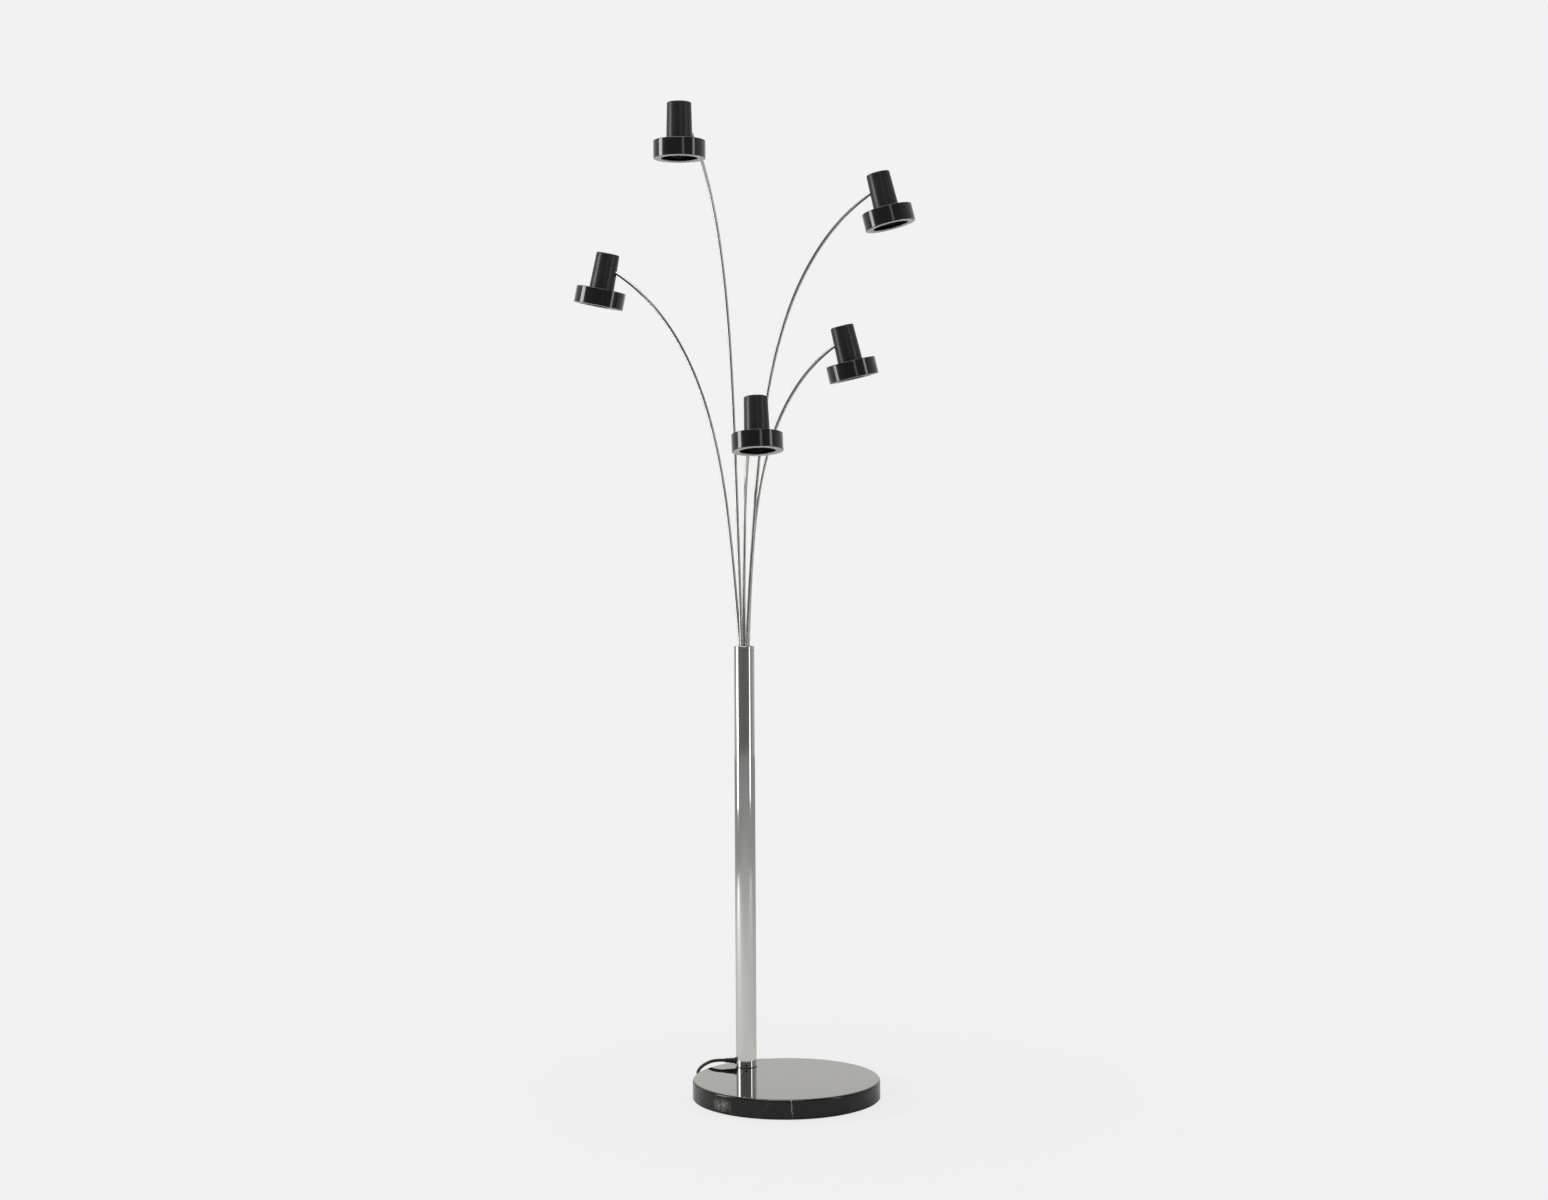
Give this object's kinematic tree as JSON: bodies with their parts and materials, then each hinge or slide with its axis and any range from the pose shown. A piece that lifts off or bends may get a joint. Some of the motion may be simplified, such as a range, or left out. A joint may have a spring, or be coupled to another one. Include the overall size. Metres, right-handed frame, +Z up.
{
  "type": "tree floor lamp",
  "caption": "Floor lamp with a round black marble base, an off-centre chromed pole and curved stems that fan out from its top, each ending in a black spot head.",
  "frame": {"origin": "centre of the base's underside, on the floor", "axes": "+Z up, the pole stands behind the origin on +Y, -Y is the side with the most free marble"},
  "size_m": [0.4695, 0.5498, 1.7818],
  "materials": {
    "marble": "polished black marble with thin white veins",
    "felt": "dark felt",
    "zinc_steel": "zinc plated",
    "cast_plug": "machined",
    "chrome": "mirror polished",
    "black_rubber": "matt",
    "black_plastic": "matt",
    "white_plastic": "matt",
    "cord_sheath": "smooth black sheath",
    "satin_black": "satin",
    "gloss_black": "gloss",
    "light_metal": "fine satin",
    "bulb_glass": "faceted reflector behind clear glass",
    "ceramic": "unglazed"
  },
  "bodies": {
    "stand": {"marble_base": "marble", "base_pad": "felt", "tie_bolt": "zinc_steel", "bolt_washer": "zinc_steel", "pole_foot_gasket": "black_rubber", "pole_foot": "cast_plug", "foot_set_screw": "zinc_steel", "pole_tube": "chrome", "top_collar": "chrome", "arm_holder": "black_plastic", "terminal_block": "white_plastic", "cord_gland": "black_rubber", "mains_cord_run": "cord_sheath", "mains_cord_coil": "cord_sheath", "mains_plug": "black_plastic"},
    "arm_a": {"stem_a": "chrome", "knuckle_a": "zinc_steel"},
    "head_a": {"head_tube_a": "satin_black", "head_ring_a": "gloss_black", "head_face_a": "light_metal", "head_bulb_a": "bulb_glass", "head_lampholder_a": "ceramic", "head_bracket_a": "zinc_steel", "head_pin_a": "zinc_steel"},
    "arm_b": {"stem_b": "chrome", "knuckle_b": "zinc_steel"},
    "head_b": {"head_tube_b": "satin_black", "head_ring_b": "gloss_black", "head_face_b": "light_metal", "head_bulb_b": "bulb_glass", "head_lampholder_b": "ceramic", "head_bracket_b": "zinc_steel", "head_pin_b": "zinc_steel"},
    "arm_c": {"stem_c": "chrome", "knuckle_c": "zinc_steel"},
    "head_c": {"head_tube_c": "satin_black", "head_ring_c": "gloss_black", "head_face_c": "light_metal", "head_bulb_c": "bulb_glass", "head_lampholder_c": "ceramic", "head_bracket_c": "zinc_steel", "head_pin_c": "zinc_steel"},
    "arm_d": {"stem_d": "chrome", "knuckle_d": "zinc_steel"},
    "head_d": {"head_tube_d": "satin_black", "head_ring_d": "gloss_black", "head_face_d": "light_metal", "head_bulb_d": "bulb_glass", "head_lampholder_d": "ceramic", "head_bracket_d": "zinc_steel", "head_pin_d": "zinc_steel"},
    "arm_e": {"stem_e": "chrome", "knuckle_e": "zinc_steel"},
    "head_e": {"head_tube_e": "satin_black", "head_ring_e": "gloss_black", "head_face_e": "light_metal", "head_bulb_e": "bulb_glass", "head_lampholder_e": "ceramic", "head_bracket_e": "zinc_steel", "head_pin_e": "zinc_steel"}
  },
  "joints": [
    {"name": "arm_a_swivel", "type": "hinge", "parent": "stand", "child": "arm_a", "pos_m": [-0.00742, 0.11959, 0.78], "axis": [0, 0, 1], "range_deg": [-60, 40]},
    {"name": "head_a_tilt", "type": "hinge", "parent": "arm_a", "child": "head_a", "pos_m": [-0.17363, 0.05579, 1.75131], "axis": [0.3584, -0.9336, 0], "range_deg": [-39, 2]},
    {"name": "arm_b_swivel", "type": "hinge", "parent": "stand", "child": "arm_b", "pos_m": [0, 0.1142, 0.78], "axis": [0, 0, 1], "range_deg": [-40, 10]},
    {"name": "head_b_tilt", "type": "hinge", "parent": "arm_b", "child": "head_b", "pos_m": [0.16576, -0.05745, 1.64124], "axis": [0.7193, 0.6947, 0], "range_deg": [-20, 21]},
    {"name": "arm_c_swivel", "type": "hinge", "parent": "stand", "child": "arm_c", "pos_m": [0.00458, 0.12831, 0.78], "axis": [0, 0, 1], "range_deg": [-20, 20]},
    {"name": "head_c_tilt", "type": "hinge", "parent": "arm_c", "child": "head_c", "pos_m": [-0.04092, 0.03072, 1.23086], "axis": [0.9063, -0.4226, 0], "range_deg": [-25, 16]},
    {"name": "arm_d_swivel", "type": "hinge", "parent": "stand", "child": "arm_d", "pos_m": [-0.00458, 0.12831, 0.78], "axis": [0, 0, 1], "range_deg": [-60, 50]},
    {"name": "head_d_tilt", "type": "hinge", "parent": "arm_d", "child": "head_d", "pos_m": [-0.15871, 0.31199, 1.51061], "axis": [-0.766, -0.6428, 0], "range_deg": [-22, 19]},
    {"name": "arm_e_swivel", "type": "hinge", "parent": "stand", "child": "arm_e", "pos_m": [0.00742, 0.11959, 0.78], "axis": [0, 0, 1], "range_deg": [-15, 50]},
    {"name": "head_e_tilt", "type": "hinge", "parent": "arm_e", "child": "head_e", "pos_m": [0.14996, 0.03052, 1.36877], "axis": [0.5299, 0.848, 0], "range_deg": [-23, 18]}
  ]
}
